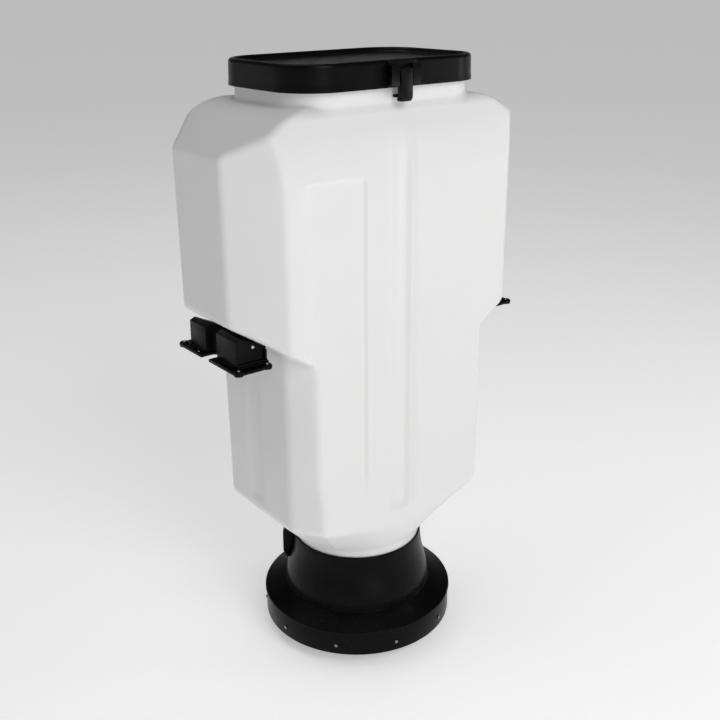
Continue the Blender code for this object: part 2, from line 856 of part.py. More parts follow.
def build_inlet():
    """The boss on the housing's side that the power cable enters, and its gland."""
    half_width = 0.0140
    outline = [
        (0.1100, 0.0985),
        (0.1260, 0.0985),
        (0.1340, 0.1110),
        (0.1340, 0.1480),
        (0.1300, 0.1525),
        (0.1100, 0.1525),
    ]

    def boss(bm):
        add_prism(bm, [(r, level(z)) for r, z in outline], "y", -half_width, half_width)
        bmesh.ops.transform(bm, matrix=DRIVE_TURN, verts=bm.verts)

    inlet = make("cable_inlet", boss, HOUSING_BLACK)
    skin = dome_profile(-GAP)
    top = level(COLLAR_HEIGHT + 0.01)
    solid_housing = [(0, top), (skin[0][0], top)] + skin + [(0, skin[-1][1])]
    clearance = turned("housing_clearance", solid_housing, STEEL, steps=64, collection=CUTTERS)
    clearance.hide_render = True
    clearance.display_type = "WIRE"
    modifier = inlet.modifiers.new("clearance_cut", "BOOLEAN")
    modifier.operation = "DIFFERENCE"
    modifier.object = clearance

    side = WORM_SIDE * -1
    cable = WORM_ALONG * 0.1275 + Vector((0, 0, level(INLET_HEIGHT + 0.004)))
    cut(
        inlet,
        "cable_way",
        lambda bm: add_cylinder(bm, cable - side * 0.002, cable + side * 0.03, 0.0032, 12),
    )
    start, end = cable + side * (half_width + GAP), cable + side * (half_width + 0.011)
    gland = make("cable_gland", lambda bm: add_cylinder(bm, start, end, 0.0058, 6), HOUSING_BLACK)
    cut(gland, "gland_way", lambda bm: add_cylinder(bm, cable, cable + side * 0.03, 0.0032, 12))


# Lid, hinges and latch
def build_lid():
    across, deep = LID_HALF

    def ring(inset, height):
        return rounded_ring(across - inset, deep - inset, LID_CORNER - inset, height)

    rings = [
        ring(LID_WALL + 0.001, 0.9885),
        ring(LID_WALL, LID_BOTTOM),
        ring(-LID_FLARE, LID_BOTTOM),
        ring(0.0, LID_BOTTOM + 0.012),
        ring(0.0, LID_TOP - 0.004),
        ring(0.0035, LID_TOP),
        ring(0.0120, LID_TOP),
        ring(0.0165, 0.9925),
    ]
    return make("lid", lambda bm: add_loft(bm, rings), LID_BLACK, LID_BODY)


def build_gasket():
    across, deep = NECK_HALF
    rings = []
    for inset, height in (
        (-0.001, NECK_TOP + GAP), (-0.001, 0.9882), (0.0075, 0.9882), (0.0075, NECK_TOP + GAP)
    ):
        rings.append(rounded_ring(across - inset, deep - inset, NECK_CORNER - inset, height))
    make("lid_gasket", lambda bm: add_loft(bm, rings, closed=True), RUBBER, LID_BODY)


def build_hinge(sign, side):
    axis_y, axis_z = HINGE_AXIS[0], level(HINGE_AXIS[1])
    middle = sign * HINGE_AT
    wall_y = upper_half(0.86)[1] + GAP + 0.0002
    leaf = make(
        f"hinge_leaf_{side}",
        lambda bm: add_box(
            bm, (middle - 0.018, wall_y, level(0.825)), (middle + 0.018, wall_y + 0.0025, level(0.9490))
        ),
        ZINC,
    )

    def knuckles(bm):
        for start, end in ((-0.018, -0.0085), (0.0085, 0.018)):
            add_cylinder(bm, (middle + start, axis_y, axis_z), (middle + end, axis_y, axis_z), 0.0048, 16)

    join(leaf, f"knuckle_{side}", knuckles)

    def webs(bm):
        for start, end in ((-0.0179, -0.0086), (0.0086, 0.0179)):
            low = (middle + start, wall_y + 0.0003, level(0.9440))
            add_box(bm, low, (middle + end, wall_y + 0.0045, level(0.9520)))

    join(leaf, f"knuckle_web_{side}", webs)
    cut(
        leaf,
        f"pin_hole_{side}",
        lambda bm: add_cylinder(
            bm, (middle - 0.03, axis_y, axis_z), (middle + 0.03, axis_y, axis_z), PIN_RADIUS + GAP, 12
        ),
    )

    def screw_heads(bm):
        for rise in (0.838, 0.853):
            add_cylinder(
                bm,
                (middle, wall_y + 0.002, level(rise)),
                (middle, wall_y + 0.0045, level(rise)),
                0.0040,
                12,
            )

    join(leaf, f"leaf_screw_{side}", screw_heads)

    lid_back = LID_HALF[1] + GAP
    arm = make(
        f"lid_hinge_arm_{side}",
        lambda bm: add_box(
            bm,
            (middle - 0.0075, lid_back, level(0.9725)),
            (middle + 0.0075, lid_back + 0.0025, level(0.9940)),
        ),
        ZINC,
        LID_BODY,
    )
    join(
        arm,
        f"arm_bridge_{side}",
        lambda bm: add_prism(
            bm,
            [
                (lid_back + 0.0005, level(0.9730)),
                (axis_y - 0.003, axis_z + 0.0010),
                (axis_y + 0.002, axis_z + 0.0030),
                (lid_back + 0.0020, level(0.9800)),
            ],
            "x",
            middle - 0.0074,
            middle + 0.0074,
        ),
    )
    join(
        arm,
        f"arm_knuckle_{side}",
        lambda bm: add_cylinder(
            bm, (middle - 0.0078, axis_y, axis_z), (middle + 0.0078, axis_y, axis_z), 0.0048, 16
        ),
    )
    cut(
        arm,
        f"arm_hole_{side}",
        lambda bm: add_cylinder(
            bm, (middle - 0.03, axis_y, axis_z), (middle + 0.03, axis_y, axis_z), PIN_RADIUS + GAP, 12
        ),
    )
    make(
        f"hinge_pin_{side}",
        lambda bm: add_cylinder(
            bm, (middle - 0.0195, axis_y, axis_z), (middle + 0.0195, axis_y, axis_z), PIN_RADIUS, 12
        ),
        STEEL,
    )


def build_latch():
    axis_y, axis_z = LATCH_AXIS[0], level(LATCH_AXIS[1])
    face = -LID_HALF[1] - LID_FLARE - GAP

    def cheeks(bm):
        for start, end in ((-0.0290, -0.0135), (0.0135, 0.0290)):
            add_box(bm, (start, axis_y - 0.0040, level(0.9605)), (end, face, level(0.9930)))

    housing = make(
        "latch_housing",
        lambda bm: add_box(bm, (-0.0285, -0.1290, level(0.9610)), (0.0285, face, level(0.9925))),
        LID_BLACK,
        LID_BODY,
    )
    join(housing, "latch_cheek", cheeks)
    cut(
        housing,
        "latch_pin_hole",
        lambda bm: add_cylinder(bm, (-0.05, axis_y, axis_z), (0.05, axis_y, axis_z), PIN_RADIUS + GAP, 12),
    )
    make(
        "latch_pin",
        lambda bm: add_cylinder(bm, (-0.0270, axis_y, axis_z), (0.0270, axis_y, axis_z), PIN_RADIUS, 12),
        STEEL,
        LID_BODY,
    )

    tongue_back = -0.1310
    tongue_front = -0.1395
    hook_tip = -0.1290
    outline = [
        (tongue_back, level(0.9883)),
        (tongue_front + 0.002, level(0.9883)),
        (tongue_front, level(0.9865)),
        (tongue_front, level(0.9430)),
        (tongue_front + 0.003, level(0.9365)),
        (hook_tip, level(0.9365)),
        (hook_tip, level(0.9415)),
        (tongue_back, level(0.9435)),
    ]
    tongue = make("latch", lambda bm: add_prism(bm, outline, "x", -0.0115, 0.0115), LID_BLACK, LATCH_BODY)
    cut(
        tongue,
        "tongue_hole",
        lambda bm: add_cylinder(bm, (-0.05, axis_y, axis_z), (0.05, axis_y, axis_z), PIN_RADIUS + GAP, 12),
    )

    keeper_back = -NECK_HALF[1] - GAP - 0.0035
    make(
        "latch_keeper",
        lambda bm: add_box(bm, (-0.0130, -0.1285, level(0.9428)), (0.0130, keeper_back, level(0.9475))),
        HOUSING_BLACK,
    )


# Side brackets
BOX_FACE = 0.279
BOX_HALF_LENGTH = 0.0715


def build_bracket(sign, side):
    """Two boxes under the shelf, a pocket between them, and a flange with a notch."""
    inner = BRACKET_INNER
    shelf = SHELF_HEIGHT + SHELF_SLOPE * (inner - 0.2045) - 0.0012
    outline = [
        (inner, BRACKET_TOP - 0.001),
        (BOX_FACE, BRACKET_TOP - 0.001),
        (BOX_FACE, 0.5900),
        (BOX_FACE - 0.009, 0.5940),
        (inner, shelf),
    ]
    block = [(sign * x, level(z)) for x, z in outline]
    middle = NOTCH_AT[1]
    bracket = make(
        f"bracket_{side}",
        lambda bm: add_prism(bm, block, "y", -BOX_HALF_LENGTH, BOX_HALF_LENGTH),
        HOUSING_BLACK,
    )

    def flange(bm):
        ends = sorted((sign * inner, sign * 0.2915))
        add_box(
            bm,
            (ends[0], -BRACKET_HALF_LENGTH, level(BRACKET_TOP - 0.0045)),
            (ends[1], BRACKET_HALF_LENGTH, level(BRACKET_TOP)),
        )

    join(bracket, f"flange_{side}", flange)

    def pocket(bm):
        low, high = level(BRACKET_TOP), level(0.62)
        ends = sorted((sign * NOTCH_AT[0], sign * 0.31))
        add_box(bm, (ends[0], middle - 0.0165, low), (ends[1], middle + 0.0165, high))

    def pocket_round(bm):
        at = sign * NOTCH_AT[0]
        add_cylinder(bm, (at, middle, level(BRACKET_TOP)), (at, middle, level(0.62)), 0.0165, 24)

    def notch(bm):
        low, high = level(BRACKET_TOP - 0.01), level(BRACKET_TOP + 0.005)
        ends = sorted((sign * NOTCH_AT[0], sign * 0.31))
        add_box(bm, (ends[0], middle - 0.0115, low), (ends[1], middle + 0.0115, high))

    def notch_round(bm):
        at = sign * NOTCH_AT[0]
        add_cylinder(
            bm,
            (at, middle, level(BRACKET_TOP - 0.01)),
            (at, middle, level(BRACKET_TOP + 0.005)),
            0.0115,
            24,
        )

    cut(bracket, f"pocket_{side}", pocket)
    cut(bracket, f"pocket_round_{side}", pocket_round)
    cut(bracket, f"notch_{side}", notch)
    cut(bracket, f"notch_round_{side}", notch_round)

    bolt_x = sign * 0.2400
    spots = (-0.046, 0.052)

    def bolt_holes(bm):
        for y in spots:
            add_cylinder(bm, (bolt_x, y, level(0.53)), (bolt_x, y, level(0.5650)), 0.0034, 12)

    def bolt_recesses(bm):
        for y in spots:
            add_cylinder(bm, (bolt_x, y, level(0.53)), (bolt_x, y, head_top + GAP), 0.0085, 24)

    head_top = level(BRACKET_TOP + 0.0010)
    cut(bracket, f"bolt_hole_{side}", bolt_holes)
    cut(bracket, f"bolt_recess_{side}", bolt_recesses)
    for number, y in enumerate(spots, 1):

        def head(bm, y=y):
            add_cylinder(bm, (bolt_x, y, head_top - 0.0045), (bolt_x, y, head_top), 0.0068, 6)

        bolt = make(f"bracket_bolt_{side}_{number}", head, STEEL)
        join(
            bolt,
            f"bracket_shank_{side}_{number}",
            lambda bm: add_cylinder(
                bm, (bolt_x, y, head_top - 0.002), (bolt_x, y, level(0.5640)), 0.0030, 12
            ),
        )


def build_baffle():
    """The folded plate across the hopper that takes the salt's weight off the agitator."""
    peak, foot = level(0.440), level(0.395)
    thick = 0.003
    outline = [
        (-0.062, foot), (-0.058, foot), (0, peak - thick), (0.058, foot), (0.062, foot), (0, peak + 0.0012)
    ]
    reach = lower_half(0.395)[1] - WALL - 0.0085
    make("baffle", lambda bm: add_prism(bm, outline, "y", -reach, reach), ZINC)


build_hopper()
build_housing()
build_skirt()
build_drive_frame()
build_gearbox()
build_motor()
build_worm_wheel()
build_shaft()
build_spinner()
build_agitator()
build_hood()
build_inlet()
build_lid()
build_gasket()
build_latch()
build_baffle()
for sign, side in ((1, "right"), (-1, "left")):
    build_hinge(sign, side)
    build_bracket(sign, side)
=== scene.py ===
# %% [markdown]
# # Tailgate salt spreader: the looks
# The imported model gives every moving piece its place. This script keeps that frame and
# dresses it: the large mouldings are drawn again as fine surfaces, the sheet metal and
# the small hardware keep their shapes and get softened edges, and every finish is built
# from nodes. Lengths are metres, +Z is up and -Y is the side with the lid's latch.

# %% Load the frame
import json
import math

import bmesh
import bpy
import numpy as np
from mathutils import Matrix, Vector


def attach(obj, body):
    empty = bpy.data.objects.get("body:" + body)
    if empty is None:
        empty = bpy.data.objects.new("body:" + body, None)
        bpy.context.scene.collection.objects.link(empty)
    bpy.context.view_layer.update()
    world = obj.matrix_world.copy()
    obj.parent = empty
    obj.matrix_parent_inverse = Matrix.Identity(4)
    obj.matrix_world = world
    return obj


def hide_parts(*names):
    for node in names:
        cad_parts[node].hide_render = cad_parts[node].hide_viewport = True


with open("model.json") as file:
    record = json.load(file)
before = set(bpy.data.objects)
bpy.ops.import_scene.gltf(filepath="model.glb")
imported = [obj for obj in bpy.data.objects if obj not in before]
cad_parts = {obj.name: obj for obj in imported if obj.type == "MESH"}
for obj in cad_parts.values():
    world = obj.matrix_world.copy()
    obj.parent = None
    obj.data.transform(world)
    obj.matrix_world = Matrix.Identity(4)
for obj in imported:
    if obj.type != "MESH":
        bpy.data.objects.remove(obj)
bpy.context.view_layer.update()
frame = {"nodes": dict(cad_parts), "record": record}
nodes = frame["nodes"]
record = frame["record"]
slot_of = {part["node"]: part["material_slot"] for part in record["subparts"]}
body_of = {name: body for body, names in record["behaviour"]["bodies"].items() for name in names}

# %% [markdown]
# ## Camera
# The viewer stands left of the latch and a little above the lid. The lens is moderately
# long, so the tall hopper keeps almost parallel sides. A vertical shift keeps the whole
# height in the picture without tilting the camera further, and the camera rolls by less
# than one degree. Everything later is drawn in the object's own coordinates, so the
# camera can move freely.

# %% Camera
CAMERA_AT = Vector((-1.0249, -1.3460, 1.1470))
LOOK_AT = Vector((-0.0032, 0.0024, 0.6841))
ROLL = -0.0116

view = (LOOK_AT - CAMERA_AT).normalized()
level_right = view.cross(Vector((0, 0, 1))).normalized()
level_up = level_right.cross(view)
right = level_right * math.cos(ROLL) + level_up * math.sin(ROLL)
up = level_up * math.cos(ROLL) - level_right * math.sin(ROLL)
turn = Matrix((right, up, -view)).transposed().to_4x4()

camera_data = bpy.data.cameras.new("camera")
camera_data.lens = 51.57
camera_data.sensor_width = 36
camera_data.shift_x = 0.0123
camera_data.shift_y = -0.142
camera = bpy.data.objects.new("camera", camera_data)
camera.matrix_world = Matrix.Translation(CAMERA_AT) @ turn
bpy.context.scene.collection.objects.link(camera)
bpy.context.scene.camera = camera
print("camera", [round(v, 3) for v in camera.location])

# %% [markdown]
# ## Floor and light
# The floor is pale and glows a little itself, which keeps it bright without lighting the
# black mouldings from above. One large soft light stands in front of the latch side, so
# the front face is brightest, its corner facets a little darker and the end faces grey.
# A tall strip on the right puts the long soft highlight on the black mouldings, a low
# wide panel shows in the lid's corner, and a large weak light above fills the shoulder.
# The sky glows near the horizon, where it meets the floor, and is dim higher up, so the
# lid's top stays dark.

# %% Floor and light
def lamp(name, at, aim, size, size_y, power):
    """A rectangular light at a point, turned to face another point."""
    data = bpy.data.lights.new(name, "AREA")
    data.shape = "RECTANGLE"
    data.size, data.size_y = size, size_y
    data.energy = power
    made = bpy.data.objects.new(name, data)
    way = Vector(aim) - Vector(at)
    made.matrix_world = Matrix.Translation(at) @ way.to_track_quat("-Z", "Y").to_matrix().to_4x4()
    bpy.context.scene.collection.objects.link(made)
    return made


lamp("key_light", (-0.42, -2.8, 2.6), (0, 0, 0.5), 1.8, 1.8, 39)
lamp("top_light", (-0.6, 0.8, 4.2), (0, 0, 0.5), 3.2, 3.2, 34)
lamp("strip_light", (2.3, -1.5, 0.9), (0, 0, 0.45), 0.35, 1.6, 9)
lamp("panel_light", (-0.50, -2.39, 0.36), (-0.14, -0.12, 0.98), 1.2, 0.5, 6)

GLOW_ENDS, GLOW = (0.06, 0.18), (0.50, 0.10)  # the sky's height as a sine, and its strength there

world = bpy.data.worlds.new("studio")
world.use_nodes = True
sky = world.node_tree
background = sky.nodes["Background"]
background.inputs["Color"].default_value = (1.0, 1.0, 1.0, 1)
direction = sky.nodes.new("ShaderNodeTexCoord")
split = sky.nodes.new("ShaderNodeSeparateXYZ")
glow = sky.nodes.new("ShaderNodeMapRange")
for socket, number in zip(glow.inputs[1:5], GLOW_ENDS + GLOW):
    socket.default_value = number
sky.links.new(direction.outputs["Generated"], split.inputs["Vector"])
sky.links.new(split.outputs["Z"], glow.inputs[0])
sky.links.new(glow.outputs[0], background.inputs["Strength"])
bpy.context.scene.world = world
bpy.context.scene.view_settings.view_transform = "Standard"

REACH = 70.0  # far enough for the floor's edge to lie at the horizon
floor_corners = [(-REACH, -REACH, 0), (REACH, -REACH, 0), (REACH, REACH, 0), (-REACH, REACH, 0)]
floor_mesh = bpy.data.meshes.new("floor")
floor_mesh.from_pydata(floor_corners, [], [(0, 1, 2, 3)])
floor = bpy.data.objects.new("floor", floor_mesh)
bpy.context.scene.collection.objects.link(floor)
floor_paint = bpy.data.materials.new("floor_paint")
floor_paint.use_nodes = True
floor_shader = floor_paint.node_tree.nodes["Principled BSDF"]
floor_shader.inputs["Base Color"].default_value = (0.96, 0.96, 0.96, 1)
floor_shader.inputs["Roughness"].default_value = 0.9
floor_shader.inputs["Specular IOR Level"].default_value = 0.1
floor_shader.inputs["Emission Color"].default_value = (1, 1, 1, 1)
floor_shader.inputs["Emission Strength"].default_value = 0.40
floor_mesh.materials.append(floor_paint)

# %% [markdown]
# ## Finishes
# No real surface is one flat colour. Each finish here starts from a colour and a gloss,
# then adds four things: a cloudy drift in the colour, as resin or plating has; a drift in
# the gloss from handling; a fine relief from the mould or the mill; and a sprinkle of
# pale scuffs. All of it is worked out from the object's own coordinates in metres, so a
# scale of 900 repeats about every millimetre.

# %% Finishes
def finish(name, colour, roughness, metal, cloud, grain, scuffs=0.0, brushed=None, shine=0.5):
    """A Principled material: cloud and grain are (scale, amount), scuffs is their share."""
    made = bpy.data.materials.new(name)
    made.use_nodes = True
    tree = made.node_tree
    shader = tree.nodes["Principled BSDF"]
    shader.inputs["Metallic"].default_value = metal
    shader.inputs["Specular IOR Level"].default_value = shine
    where = tree.nodes.new("ShaderNodeTexCoord").outputs["Object"]

    def noise(scale, detail, stretch=None):
        spot = where
        if stretch:
            mapping = tree.nodes.new("ShaderNodeMapping")
            mapping.inputs["Scale"].default_value = stretch
            tree.links.new(where, mapping.inputs["Vector"])
            spot = mapping.outputs["Vector"]
        texture = tree.nodes.new("ShaderNodeTexNoise")
        texture.inputs["Scale"].default_value = scale
        texture.inputs["Detail"].default_value = detail
        tree.links.new(spot, texture.inputs["Vector"])
        return texture.outputs["Fac"]

    def ranged(value, low, high, to_low, to_high):
        node = tree.nodes.new("ShaderNodeMapRange")
        for socket, number in zip(node.inputs[1:5], (low, high, to_low, to_high)):
            socket.default_value = number
        tree.links.new(value, node.inputs[0])
        return node.outputs[0]

    def mixed(share, first, second):
        node = tree.nodes.new("ShaderNodeMix")
        node.data_type = "RGBA"
        if isinstance(first, tuple):
            node.inputs[6].default_value = (*first, 1)
        else:
            tree.links.new(first, node.inputs[6])
        node.inputs[7].default_value = (*second, 1)
        tree.links.new(share, node.inputs[0])
        return node.outputs[2]

    dark = tuple(channel * (1 - cloud[1]) for channel in colour)
    light = tuple(min(1, channel * (1 + cloud[1])) for channel in colour)
    tone = mixed(ranged(noise(cloud[0], 4), 0.3, 0.7, 0, 1), dark, light)
    rough = ranged(noise(cloud[0] * 3.1, 5), 0.3, 0.7, roughness - 0.05, roughness + 0.06)
    if scuffs:
        worn = ranged(noise(140, 6, (1, 1, 0.35)), 0.66, 0.74, 0, scuffs)
        pale = tuple(0.6 * channel + 0.16 for channel in colour)
        tone = mixed(worn, tone, pale)
    tree.links.new(tone, shader.inputs["Base Color"])
    tree.links.new(rough, shader.inputs["Roughness"])
    relief = noise(grain[0], 3, brushed)
    bump = tree.nodes.new("ShaderNodeBump")
    bump.inputs["Strength"].default_value = 0.6
    bump.inputs["Distance"].default_value = grain[1]
    tree.links.new(relief, bump.inputs["Height"])
    tree.links.new(bump.outputs["Normal"], shader.inputs["Normal"])
    return made


BLACK = (0.0016, 0.0016, 0.0018)
WHITE = (0.845, 0.845, 0.84)
FINISH = {
    "hopper_plastic": finish("natural_polyethylene", WHITE, 0.40, 0, (5, 0.012), (420, 0.00008)),
    "housing_plastic": finish(
        "black_housing", BLACK, 0.30, 0, (14, 0.3), (700, 0.00004), scuffs=0.003, shine=0.09
    ),
    "bracket_plastic": finish(
        "glass_filled_black", BLACK, 0.40, 0, (30, 0.4), (1100, 0.00008), scuffs=0.02, shine=0.10
    ),
    "lid_plastic": finish(
        "black_lid", BLACK, 0.32, 0, (14, 0.3), (900, 0.00006), scuffs=0.012, shine=0.12
    ),
    "spinner_plastic": finish(
        "black_polyurethane", (0.008, 0.008, 0.009), 0.5, 0, (20, 0.2), (500, 0.0001), scuffs=0.06, shine=0.3
    ),
    "stainless": finish(
        "stainless_steel", (0.60, 0.60, 0.59), 0.28, 1, (60, 0.08), (1500, 0.00004), brushed=(1, 1, 0.06)
    ),
    "dark_screws": finish("blackened_steel", (0.22, 0.22, 0.22), 0.25, 1, (60, 0.2), (1500, 0.00004)),
    "zinc_steel": finish(
        "zinc_plated_sheet", (0.52, 0.53, 0.54), 0.42, 1, (45, 0.16), (700, 0.00005), brushed=(1, 1, 0.3)
    ),
    "casting": finish("aluminium_casting", (0.46, 0.47, 0.48), 0.52, 1, (30, 0.12), (420, 0.0003)),
    "motor_paint": finish(
        "motor_enamel", (0.012, 0.012, 0.014), 0.32, 0, (25, 0.15), (600, 0.00008), scuffs=0.06, shine=0.4
    ),
    "bronze": finish("worm_bronze", (0.55, 0.37, 0.16), 0.34, 1, (50, 0.12), (900, 0.00005)),
    "rubber": finish("soft_rubber", (0.010, 0.010, 0.010), 0.75, 0, (40, 0.2), (1300, 0.0001), shine=0.3),
}
print(len(FINISH), "finishes")

# %% [markdown]
# ## Making a surface from a grid
# Every moulding below is a grid of points: rows run along a profile and columns run
# round the piece. One helper turns any number of such grids into one mesh. A grid whose
# last row meets its first is a ring like a tyre; any other grid is closed with a flat
# face at each end.

# %% Grids into pieces
def grid_faces(rows, columns, first, ring):
    """Four-sided faces between neighbours of a grid that is closed round its columns."""
    r = np.arange(rows if ring else rows - 1)[:, None]
    c = np.arange(columns)[None, :]
    right, above = (c + 1) % columns, (r + 1) % rows
    faces = np.stack([r * columns + c, r * columns + right, above * columns + right, above * columns + c], -1)
    faces = (faces.reshape(-1, 4) + first).tolist()
    if not ring:
        faces.append((np.arange(columns)[::-1] + first).tolist())
        faces.append((np.arange(columns) + first + (rows - 1) * columns).tolist())
    return faces


def piece(name, grids, stands_for, sharp=40, ring=False, beside=False):
    """One object from grids, with the body and finish of the nodes it stands for or is beside."""
    points, faces, first = [], [], 0
    for grid in grids:
        faces += grid_faces(grid.shape[0], grid.shape[1], first, ring)
        points.append(grid.reshape(-1, 3))
        first += grid.shape[0] * grid.shape[1]
    mesh = bpy.data.meshes.new(name)
    mesh.from_pydata(np.concatenate(points), [], faces)
    bm = bmesh.new()
    bm.from_mesh(mesh)
    bmesh.ops.remove_doubles(bm, verts=bm.verts, dist=1e-6)
    bmesh.ops.recalc_face_normals(bm, faces=bm.faces)
    bm.to_mesh(mesh)
    bm.free()
    mesh.shade_smooth()
    mesh.set_sharp_from_angle(angle=math.radians(sharp))
    made = bpy.data.objects.new(name, mesh)
    bpy.context.scene.collection.objects.link(made)
    first_node = stands_for[0]
    mesh.materials.append(FINISH[slot_of[first_node]])
    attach(made, body_of[first_node])
    if not beside:
        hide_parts(*stands_for)
    print(f"{name}: {len(mesh.polygons)} faces")
    return made


# %% [markdown]
# ## The hopper's shape
# The hopper is one rotationally moulded shell: a heated mould is turned with powder
# inside until an even wall has melted onto it, so every edge comes out soft. The shape
# is described as the real mould is cut, by flat cutters: for each flat there is a signed
# distance, negative inside. The largest of them is the distance to their common solid,
# and blending two of them over a small radius gives the soft edge.

# %% Distances that make the hopper
DROP = 0.024  # the skirt ring's lower edge above the floor
WALL = 0.006
LOWER_CHAMFER = (0.0327, 0.0489, 0.0380)  # across the end face, along the front's and the back's side
UPPER_CHAMFER = (0.0652, 0.0737, 0.0630)
FOOT, SHELF, SHELF_SLOPE = 0.2507, 0.561, 0.62
HALF_WIDTH, HALF_DEPTH, UPPER_WIDTH = 0.1988, 0.1345, 0.2921
SIDE_DRAFT, FACE_DRAFT = 0.0184, 0.0081
SHOULDER_EDGE, TOP = (0.2934, 0.873), 0.937  # the shoulder slopes as the shelf does
LEAN_FROM, LEAN_SLOPE = (0.1393, 0.858), 0.2875  # the front leans in above this height
SPIGOT, SPIGOT_TOP = 0.112, 0.165
NECK = (0.178, 0.117, 0.063)


def round_max(a, b, radius):
    """The larger of two distances, with a round of this radius where the two are equal."""
    past = np.hypot(np.maximum(a + radius, 0), np.maximum(b + radius, 0))
    return np.minimum(np.maximum(a, b), -radius) + past


def round_min(a, b, radius):
    """The smaller of two distances, with a round hollow where the two are equal."""
    return -round_max(-a, -b, radius)


def ramp(value, start, end):
    """A soft step from 0 at start to 1 at end."""
    t = np.clip((value - start) / (end - start), 0, 1)
    return t * t * (3 - 2 * t)


def slant(over_side, over_face, chamfer, front):
    """Distance past the flat that takes off an upright corner."""
    across, front_along, back_along = chamfer
    along = np.where(front, front_along, back_along)
    size = np.hypot(across, along)
    return (along * over_side + across * over_face + across * along) / size


LABEL_RIGHT, LABEL_TOP, LABEL_DEPTH = -0.0765, 0.8310, 0.0038
CHANNEL_DEPTH, RIDGE_HEIGHT = 0.0056, 0.0028


def front_relief(x, z):
    """How deep the front is sunk: the label's flat and the channel down the middle with its ridge."""
    wall = round_max(x - LABEL_RIGHT, z - LABEL_TOP, 0.012)
    label = LABEL_DEPTH * ramp(x, -0.192, -0.180) * (1 - ramp(wall, -0.0055, 0.0005)) * ramp(z, 0.285, 0.345)
    bent = x + 0.0140 * ramp(z, 0.878, 0.912)  # the ridge leans over at its top
    soft = 0.45 * ramp(x, -0.036, -0.026) + 0.55 * ramp(x, -0.020, 0.002)
    channel = CHANNEL_DEPTH * soft * (1 - ramp(bent, 0.0045, 0.0135)) * (1 - ramp(z, 0.848, 0.908))
    across = ramp(bent, 0.0145, 0.0215) * (1 - ramp(bent, 0.0245, 0.0340))
    ridge = RIDGE_HEIGHT * across * (1 - ramp(z, 0.900, 0.920))
    return label + (channel - ridge) * ramp(z, 0.245, 0.262)


def side_relief(y, z):
    """How deep the lower body's ends are sunk by their upright channel."""
    channel = ramp(y, -0.006, 0.001) * (1 - ramp(y, 0.028, 0.036))
    return 0.0030 * channel * ramp(z, 0.262, 0.275)


def funnel_distance(x, y, z):
    """Distance outside the funnel, whose outline runs from the foot's corners to the spigot's circle."""
    reach = np.hypot(x, y)
    ex, ey = np.abs(x) / reach, np.abs(y) / reach
    across, front_along, back_along = LOWER_CHAMFER
    along = np.where(y < 0, front_along, back_along)
    edge = (along * HALF_WIDTH + across * HALF_DEPTH - across * along) / (along * ex + across * ey)
    foot = np.minimum(np.minimum(HALF_WIDTH / np.maximum(ex, 1e-6), HALF_DEPTH / np.maximum(ey, 1e-6)), edge)
    dip = 0.0217 * np.clip(1 - (foot * ex / 0.166) ** 2, 0, 1)
    share = np.clip((z - SPIGOT_TOP) / (FOOT - dip - SPIGOT_TOP), 0, None) ** 0.86
    return 0.66 * (reach - SPIGOT - (foot - SPIGOT) * share)


def hopper_distance(x, y, z):
    """Signed distance outside the hopper: the blended largest of its flats' distances."""
    ax, ay, front = np.abs(x), np.abs(y), y < 0
    depth = HALF_DEPTH + FACE_DRAFT * (z - FOOT)
    over_face = ay - depth
    over_low = ax - (HALF_WIDTH + SIDE_DRAFT * (z - FOOT))
    over_high = ax - (UPPER_WIDTH + SIDE_DRAFT * (z - 0.870))

    low = over_low + side_relief(y, z)
    low = round_max(low, slant(over_low, over_face, LOWER_CHAMFER, front), 0.005)
    slope = math.hypot(1, SHELF_SLOPE)
    shoulder = (z - SHOULDER_EDGE[1] + SHELF_SLOPE * (ax - SHOULDER_EDGE[0])) / slope
    high = round_max(over_high, slant(over_high, over_face, UPPER_CHAMFER, front), 0.005)
    shelf = (SHELF - z + SHELF_SLOPE * (ax - 0.2045)) / slope
    high = round_max(high, shelf, 0.007)
    ends = round_max(round_min(low, high, 0.005), shoulder, 0.006)

    face = over_face + np.where(front, front_relief(x, z), 0)
    lean = (ay - (LEAN_FROM[0] - LEAN_SLOPE * (z - LEAN_FROM[1]))) / math.hypot(1, LEAN_SLOPE)
    face = round_max(face, np.where(front, lean, -1), 0.012)
    body = round_max(ends, face, 0.006)
    body = round_max(body, z - TOP, 0.017)
    body = round_max(body, funnel_distance(x, y, z), 0.005)

    across, deep, corner = NECK
    past_x, past_y = ax - across + corner, ay - deep + corner
    outside = np.hypot(np.maximum(past_x, 0), np.maximum(past_y, 0))
    neck = outside + np.minimum(np.maximum(past_x, past_y), 0) - corner
    return round_min(body, np.maximum(neck, 0.90 - z), 0.006)


# %% [markdown]
# ## Where the hopper's columns and rows run
# A grid shows a detail only where its lines are close together. So the columns crowd
# along the upright edges, the channel and the label's wall, and the rows crowd at the
# foot, the shelf and the label's top. Each column aims at one point of the lower body's
# outline and one of the upper body's, and slides from the first to the second as it
# climbs past the shelf.

# %% Columns and rows of the hopper
def spread(start, end, count, crowd=0.0):
    """Evenly spaced numbers without the last, or crowded towards both ends."""
    t = np.arange(count) / count
    return start + (end - start) * (t - crowd * np.sin(2 * np.pi * t) / (2 * np.pi))


